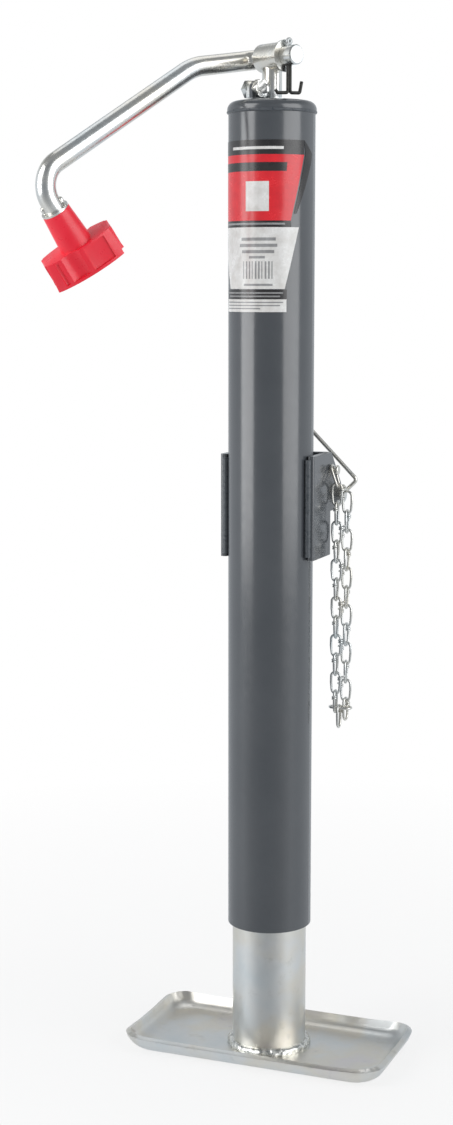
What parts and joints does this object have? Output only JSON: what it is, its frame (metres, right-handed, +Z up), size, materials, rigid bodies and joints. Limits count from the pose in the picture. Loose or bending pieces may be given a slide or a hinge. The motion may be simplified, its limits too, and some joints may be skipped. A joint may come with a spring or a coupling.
{
  "type": "trailer tongue jack",
  "caption": "Round telescoping tongue jack with a folding top crank, a wide pan foot, and a side bracket with a chained pull pin.",
  "frame": {"origin": "centre of the foot's sole, on the common axis of the tubes", "axes": "+Z up along the tubes, +X along the foot and the pull pin, +Y out of the mounting bracket's back"},
  "size_m": [0.2023, 0.1937, 0.6863],
  "materials": {
    "grey_paint": "satin",
    "zinc": "bright zinc plate",
    "steel": "plain turned steel",
    "weld_bead": "plated weld",
    "black_wire": "black oxide",
    "red_plastic": "moulded, satin gloss",
    "label_film": "printed film in plain colour blocks",
    "brass_cage": "pressed cage"
  },
  "bodies": {
    "housing": {"outer_tube": "grey_paint", "top_cap": "grey_paint", "cap_weld": "grey_paint", "upper_race": "steel", "mount_bracket": "grey_paint", "bracket_welds": "grey_paint", "chain_rivet": "zinc", "label": "label_film"},
    "leg": {"inner_tube": "zinc", "drive_nut": "steel", "nut_pins": "steel", "foot_plate": "zinc", "foot_weld": "weld_bead"},
    "bearing": {"ball_cage": "brass_cage", "bearing_balls": "steel"},
    "screw": {"lead_screw": "steel", "lower_race": "steel", "screw_collar": "steel", "collar_pin": "steel", "stop_washer": "steel", "stop_pin": "steel", "drive_hub": "grey_paint", "drive_lug": "grey_paint", "crank_upright": "zinc", "lug_bolt": "zinc", "lug_nut": "zinc"},
    "crank": {"crank_rod": "zinc", "journal_washer": "zinc", "cotter_pin": "black_wire", "grip_washer": "zinc", "grip_clip": "steel"},
    "grip": {"grip_knob": "red_plastic"},
    "pin": {"pull_pin": "zinc"},
    "bail": {"pin_bail": "zinc"},
    "chain": {"chain_links": "zinc"}
  },
  "joints": [
    {"name": "crank_spin", "type": "hinge", "parent": "housing", "child": "screw", "pos_m": [0, 0, 0.675], "axis": [0, 0, 1], "range_deg": [0, 27000]},
    {"name": "leg_slide", "type": "slide", "parent": "housing", "child": "leg", "axis": [0, 0, -1], "range_m": [0, 0.381]},
    {"name": "bearing_spin", "type": "hinge", "parent": "housing", "child": "bearing", "pos_m": [0, 0, 0.62], "axis": [0, 0, 1], "range_deg": [0, 13500]},
    {"name": "crank_fold", "type": "hinge", "parent": "screw", "child": "crank", "pos_m": [0, 0, 0.675], "axis": [-0.8796, 0.4756, 0], "range_deg": [-22, 190]},
    {"name": "grip_spin", "type": "hinge", "parent": "crank", "child": "grip", "pos_m": [-0.09307, -0.13007, 0.57359], "axis": [0.2876, 0.5318, -0.7965], "continuous": true},
    {"name": "pin_pull", "type": "slide", "parent": "housing", "child": "pin", "axis": [1, 0, 0], "range_m": [0, 0.09]},
    {"name": "bail_swing", "type": "hinge", "parent": "pin", "child": "bail", "pos_m": [0.03567, 0.0405, 0.387], "axis": [0, 1, 0], "range_deg": [-45, 70]},
    {"name": "chain_swing", "type": "hinge", "parent": "housing", "child": "chain", "pos_m": [0.03578, 0.0255, 0.4045], "axis": [1, 0, 0], "range_deg": [-25, 6]}
  ],
  "couplings": [
    {"joint": "leg_slide", "follows": "crank_spin", "m_per_rad": 0.00080851},
    {"joint": "bearing_spin", "follows": "crank_spin", "ratio": 0.5}
  ]
}
